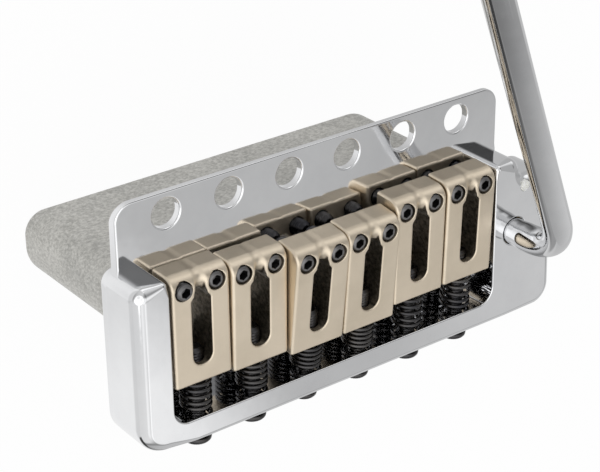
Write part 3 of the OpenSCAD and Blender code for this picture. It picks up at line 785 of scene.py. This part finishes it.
def skin_of(distance, low, high, step):
    """Mesh of a distance's zero surface: points, faces and normals.

    Each cell that the surface crosses has a point, moved onto it; each grid edge it crosses has a quad.
    """
    axes = [np.arange(a, b + step, step) for a, b in zip(low, high)]
    grid = np.stack(np.meshgrid(*axes, indexing="ij"), -1)
    inside = distance(grid) < 0
    mixed = np.zeros([n - 1 for n in inside.shape], int)
    for corner in np.ndindex(2, 2, 2):
        mixed += inside[tuple(slice(c, c - 1 or None) for c in corner)]
    cells = (mixed > 0) & (mixed < 8)
    number = np.full(cells.shape, -1)
    number[cells] = np.arange(cells.sum())
    points = np.array(low) + (np.argwhere(cells) + 0.5) * step
    nudge = step * 0.05
    for _ in range(4):
        normals = [distance(points + nudge * e) - distance(points - nudge * e) for e in np.eye(3)]
        normals = np.stack(normals, -1)
        normals /= np.maximum(np.linalg.norm(normals, axis=1), 1e-9)[:, None]
        points = points - normals * np.clip(distance(points), -step, step)[:, None]
    faces = []
    for axis in range(3):
        a = np.moveaxis(inside, axis, 0)
        cross = a[1:] != a[:-1]
        i, j, k = (m[(slice(None), slice(1, -1), slice(1, -1))] for m in np.indices(cross.shape))
        hit = cross[:, 1:-1, 1:-1]
        i, j, k = i[hit], j[hit], k[hit]
        num = np.moveaxis(number, axis, 0)
        quad = np.stack([num[i, j - 1, k - 1], num[i, j, k - 1], num[i, j, k], num[i, j - 1, k]], 1)
        flip = a[:-1, 1:-1, 1:-1][hit] ^ (axis == 1)
        quad[~flip] = quad[~flip][:, ::-1]
        faces.append(quad)
    return points, np.concatenate(faces), normals


def make_saddles():
    """Six saddles from one skin, each set at its own reach and tilt."""
    room = 0.4
    step = 0.15
    low = (-SADDLE_W / 2 - room, -room, -SADDLE_T / 2 - room)
    high = (SADDLE_W / 2 + room, SADDLE_L + room, SADDLE_T / 2 + room)
    points, faces, normals = skin_of(saddle_distance, low, high, step)
    for n, f in FRAMES.items():
        obj = make_mesh(f"saddle_body_{n}", f.place(points + [0, f.reach, 0]), faces, merge=False)
        obj.data.normals_split_custom_set_from_vertices(normals @ f.turn.T)
        dress(obj, f"saddle_{n}", "saddle_metal", SADDLE, f"saddle_{n}")


# Screws and springs


def hex_radius(a, across):
    """Distance from the middle to a hexagon's edge in the direction a."""
    return across / 2 / np.cos((a + math.pi / 6) % (math.pi / 3) - math.pi / 6)


def socket_rings(a, across, top, depth, lead):
    """Rings (radius, height) of a hex socket: a small chamfer, straight walls and a conical floor."""
    h = hex_radius(a, across)
    return [(h + lead, top), (h, top - lead), (h, top - depth), (0, top - depth - across * 0.2)]


def rings_shape(rings, a):
    """A closed solid whose rings give a radius and a height, each one number or one for each angle a."""
    r = np.stack([np.broadcast_to(q[0], a.shape) for q in rings])
    h = np.stack([np.broadcast_to(q[1], a.shape) for q in rings])
    grid = np.stack([r * np.cos(a), r * np.sin(a), h], -1).reshape(-1, 3)
    return grid, grid_faces(len(rings), len(a)), []


def thread_wave(s, a):
    """Depth of a thread, 0 to 1, at each way s along and angle a: a zigzag that winds once a pitch."""
    return np.abs(((s[:, None] / THREAD - a[None] / TURN) % 1) * 2 - 1)


def height_screw_shape(length):
    """A set screw standing on z = 0: flat point, thread, chamfered top with a hex socket."""
    a = np.linspace(0, TURN, 48, endpoint=False)
    r, depth, end = SCREW_R - 0.11, 0.16, length - 0.45
    flat = [(0, 0), (r / 2, 0), (r - depth, r / 2 - depth)]
    s = np.arange(r / 2, end, THREAD / 6)
    fade = np.clip(np.minimum(s - r / 2, end - s) / 0.25, 0, 1)
    wave = thread_wave(s, a)
    thread = [(r - depth * (1 - fade[i] + fade[i] * wave[i]), z) for i, z in enumerate(s)]
    top = length - 0.12
    rim = [(r - 0.04, top - 0.3), (r - 0.3, top - 0.03), (r - 0.34, top)]
    return rings_shape(flat + thread + rim + socket_rings(a, 1.45, top, 1.5, 0.07), a)


def make_height_screws():
    """Two set screws in each saddle."""
    for n, f in FRAMES.items():
        for side, word in ((-1, "bass"), (1, "treble")):
            tip, length = f.height_screw(side)
            points, faces, caps = height_screw_shape(length)
            obj = make_mesh(f"set_screw_{n}_{word}", f.place(points + tip), faces, caps)
            crisp(obj, 38)
            dress(obj, f"height_screws_{n}", "black_steel", SET_SCREW, f"height_screw_{n}_{word}")


def screw_shape():
    """An intonation screw along Y: button head with hex socket and ball-shaped underside, shank, thread."""
    a = np.linspace(0, TURN, 48, endpoint=False)
    r, depth = SCREW_R - 0.02, 0.17
    back, across, lead = HEAD_BACK, 2.0, 0.1
    socket_edge = hex_radius(a, across) + lead
    rings = [(q, back - HEAD_FLAT - h) for q, h in socket_rings(a, across, 0, 1.3, lead)][::-1]
    rings.append((np.maximum(socket_edge + 0.02, 1.4), back - HEAD_FLAT))
    rings += [(q, back - h) for q, h in HEAD_RIM]
    ball = np.radians(np.linspace(-16, 41, 12))
    rings += [(HEAD_R * math.cos(t), back + HEAD_R * math.sin(t)) for t in ball]
    rings.append((r, back + HEAD_R * 0.72))
    neck, end = 2.2, SCREW_REACH - 0.45
    s = np.arange(back + neck, end, THREAD / 6)
    fade = np.clip(np.minimum(s - back - neck, end - s) / 0.3, 0, 1)
    wave = thread_wave(s, a)
    rings += [(r - depth * fade[i] * wave[i], y) for i, y in enumerate(s)]
    rings += [(r - depth, SCREW_REACH - 0.3), (r - 0.4, SCREW_REACH), (0, SCREW_REACH)]
    points, faces, caps = rings_shape(rings, a)
    return points[:, [1, 2, 0]], faces, caps


def make_screws():
    """Six intonation screws from one shape."""
    points, faces, caps = screw_shape()
    for n, f in FRAMES.items():
        obj = make_mesh(f"long_screw_{n}", f.place(points), faces, caps)
        outward(obj)
        crisp(obj, 38)
        dress(obj, f"intonation_screw_{n}", "black_steel", BLACK, f"intonation_screw_{n}")


def spring_line(reach):
    """Middle line of a spring and its wire's radius: closed turns at the ends, open ones between."""
    wire, outer, turns = 0.62, 5.2, 4.9
    t = np.linspace(0, 1, int(turns * 40) + 1)
    wall_gap, saddle_gap = 0.45, 0.12
    low, high = wall_gap + wire / 2, reach - saddle_gap - wire / 2
    dead = 0.75 / turns
    s = np.clip((t - dead) / (1 - 2 * dead), 0, 1)
    closed = wire * 0.75
    y = low + closed * np.clip(t / dead, 0, 1) + (high - low - 2 * closed) * s
    y += closed * np.clip((t - 1 + dead) / dead, 0, 1)
    a = TURN * turns * t
    r = (outer - wire) / 2
    return np.column_stack([r * np.cos(a), y, r * np.sin(a)]), wire / 2


def make_springs():
    """Six springs, each stretched between the rear wall and its saddle."""
    for n, f in FRAMES.items():
        path, r = spring_line(f.reach)
        points, faces, caps = tube(path, r, 14)
        obj = make_mesh(f"coil_spring_{n}", f.place(points), faces, caps)
        obj.data.set_sharp_from_angle(angle=math.radians(50))
        dress(obj, None, "spring_steel", SPRING)
        start = f.place(np.array([0, 0.4, 0])) * MM
        end = f.place(np.array([0, f.reach - 0.4, 0])) * MM
        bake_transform(obj)
        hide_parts(f"intonation_spring_{n}")


def make_plug():
    """The nylon plug: a short pin with a domed top."""
    low, high = (np.array(c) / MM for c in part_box("nylon_plug"))
    middle, r, dome = (low + high) / 2, (high[0] - low[0]) / 2, 0.4
    a = np.radians(np.linspace(0, 90, 10))
    r = r - 0.02
    profile = [[0, low[2]], [r, low[2]], [r, high[2] - dome]]
    profile += np.column_stack([r * np.cos(a), high[2] - dome + dome * np.sin(a)])[1:].tolist()
    obj = make_mesh("plug", *lathe(profile, 48, (middle[0], middle[1], 0)))
    outward(obj)
    crisp(obj, 50)
    return obj


def mirrored_floor(f):
    """Colour of the floor as the chrome and the clear parts see it: bright, and dim behind the bridge, as
    under a dark backdrop.

    Every patch is a product of ranges, in metres along the bridge's own X (across) and Y (along).
    """
    across, along, _ = f.split(f.node("ShaderNodeTexCoord", output=OBJECT))
    behind = f.steps(along, -0.12, -0.15) * f.steps(along - across, 0.0, -0.03)
    behind = behind * f.steps(across, 0.065, 0.045)
    dim = f.steps(across * 4.5 - along * 1.7, 0.07, 0.41, 0.06, 0.4)
    ahead = f.steps(along, -0.03, 0.03) * f.steps(across, -0.06, -0.02)
    beside = f.steps(along, -0.055, -0.038) * f.steps(along, -0.022, -0.030)
    beside = beside * f.steps(across, -0.045, -0.055)
    treble = f.steps(across, -0.05, 0.1, 1.0, 0.62)
    bass = f.steps(across, -0.07, -0.10, 1.0, 0.78)
    bright = treble * (1 - ahead * 0.2) * bass * (1 - beside * 0.12)
    return f.mix(behind, f.rgb(bright), f.rgb(dim))


def make_floor():
    """A pale floor just below the block: white to the camera, with the bridge's shadow faintly on it."""
    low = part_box("inertia_block")[0][2] / MM - 0.1
    size = 3000
    points = np.array([[-size, -size, low], [size, -size, low], [size, size, low], [-size, size, low]])
    obj = make_mesh("floor", points, [[0, 1, 2, 3]])
    material = bpy.data.materials.new("pale_floor")
    f = Finish(material)
    white_share = 0.96
    diffuse = f.node("ShaderNodeBsdfDiffuse", {}, {0: grey(0.86)})
    camera, glossy, clear = (f.node("ShaderNodeLightPath", output=k)
                             for k in (CAMERA_RAY, GLOSSY_RAY, TRANSMISSION_RAY))
    seen = f.mix_shader(glossy + clear, diffuse, f.glow(mirrored_floor(f)))
    shader = f.mix_shader(camera * white_share, seen, f.glow(grey(1)))
    f.node("ShaderNodeOutputMaterial", {}, {0: shader})
    obj.data.materials.append(material)


# Soft patches of the sky for the chrome to show: azimuth (0 treble side, 90 neck, -90 rear) and elevation,
# the degrees within which a patch is full and at which it ends, and the light that it adds
SKY_PATCHES = (
    (-62, 48, 8.5, 11.8, 0.48),  # rear, half way up
    (-35, 36, 3, 8, 0.2),  # rear, beside it to the treble side
    (-88, 60, 10, 20, 0.3),  # rear, above it
    (-30, 80, 8, 26, 0.6),  # nearly overhead
    (43, 50, 10, 27, -0.42),  # neck and treble side, darker
    (136, 42, 8, 15, -0.35),  # neck and bass side, darker
    (95, 30, 15, 50, 0.25),  # neck side, wide
    (57, 4, 14, 32, 0.7),  # neck side, low
    (160, 40, 5, 40, 0.3),  # bass side, wide
)


def sky(azimuth, elevation):
    """Unit vector towards a place in the sky, angles in degrees."""
    a, e = math.radians(azimuth), math.radians(elevation)
    return math.cos(e) * math.cos(a), math.cos(e) * math.sin(a), math.sin(e)


def facing(f, where, direction, inner, outer):
    """1 within inner degrees of a direction, falling to 0 at outer degrees."""
    along = f.node("ShaderNodeVectorMath", {"operation": "DOT_PRODUCT"}, {0: where, 1: direction}, 1)
    return f.steps(along, math.cos(math.radians(outer)), math.cos(math.radians(inner)))


def make_world():
    """Soft studio: a grey room, lighter to the treble side, with soft patches for the chrome to show.

    Low behind the bridge lies a paler round. A narrow dim ring parts it from the rest, which is paler
    again, and from the broad patch on the bass side of the rear.
    """
    world = bpy.data.worlds.new("studio")
    bpy.context.scene.world = world
    f = Finish(world)
    where = f.node("ShaderNodeTexCoord", output=GENERATED)
    behind = sky(-63.3, -9.8)
    low = facing(f, where, behind, 39, 45)
    high = 1 - facing(f, where, behind, 46, 54)
    across, _, _ = f.split(where)
    room = (low * 0.25 + 0.29) * (across * 0.42 + 0.97)
    level = room + high * f.steps(across, 0.66, 0.54, 0.09, 0.225)
    level = level + facing(f, where, sky(-142, 28), 33, 54) * high * 0.42
    for azimuth, elevation, inner, outer, light in SKY_PATCHES:
        level = level + facing(f, where, sky(azimuth, elevation), inner, outer) * light
    background = f.node("ShaderNodeBackground", {}, {0: grey(1), 1: level})
    f.node("ShaderNodeOutputWorld", {}, {0: background})


def make_lamp():
    """One large soft lamp above the bass side."""
    place, aim = (-0.45, 0.10, 0.60), (0, -0.015, 0)
    lamp = bpy.data.lights.new("key", "AREA")
    lamp.shape = "DISK"
    lamp.size = 1.15
    lamp.energy = 2.0
    obj = bpy.data.objects.new("key", lamp)
    bpy.context.scene.collection.objects.link(obj)
    obj.location = place
    look = np.array(aim) - np.array(place)
    obj.rotation_euler = Vector(look).to_track_quat("-Z", "Y").to_euler()


def make_camera():
    """The photograph's own camera, fitted to it: its place, and which way it looks."""
    data = bpy.data.cameras.new("camera")
    data.lens = 111.34
    data.sensor_width = 36
    place = (-0.15825, 0.11944, 0.20759)
    right, down = (0.7988, -0.0113, 0.6015), (-0.2794, -0.8924, 0.3543)
    ahead = (0.5328, -0.4510, -0.7160)
    camera = bpy.data.objects.new("camera", data)
    bpy.context.scene.collection.objects.link(camera)
    turn = Matrix((right, [-v for v in down], [-v for v in ahead])).transposed().to_4x4()
    camera.matrix_world = Matrix.Translation(place) @ turn
    bpy.context.scene.camera = camera


scene = bpy.context.scene
scene.view_settings.view_transform = "Standard"
make_camera()
make_world()
make_lamp()
make_floor()
dress(make_plate(), "bridge", "plate_chrome", CHROME, "base_plate")
dress(make_block(), "bridge", "block_metal", BLOCK, "inertia_block")
dress(make_arm(), "arm", "arm_chrome", ARM_CHROME, "arm")
dress(make_tip(), "arm", "tip_plastic", IVORY, "arm_tip")
dress(make_plug(), "bridge", "plug_nylon", NYLON, "nylon_plug")
make_saddles()
make_screws()
make_height_screws()
make_springs()
for node, material in (("block_screws", NICKEL), ("arm_bush", BRASS), ("arm_tension_screw", BLACK)):
    for slot in frame["nodes"][node].material_slots:
        slot.material = material
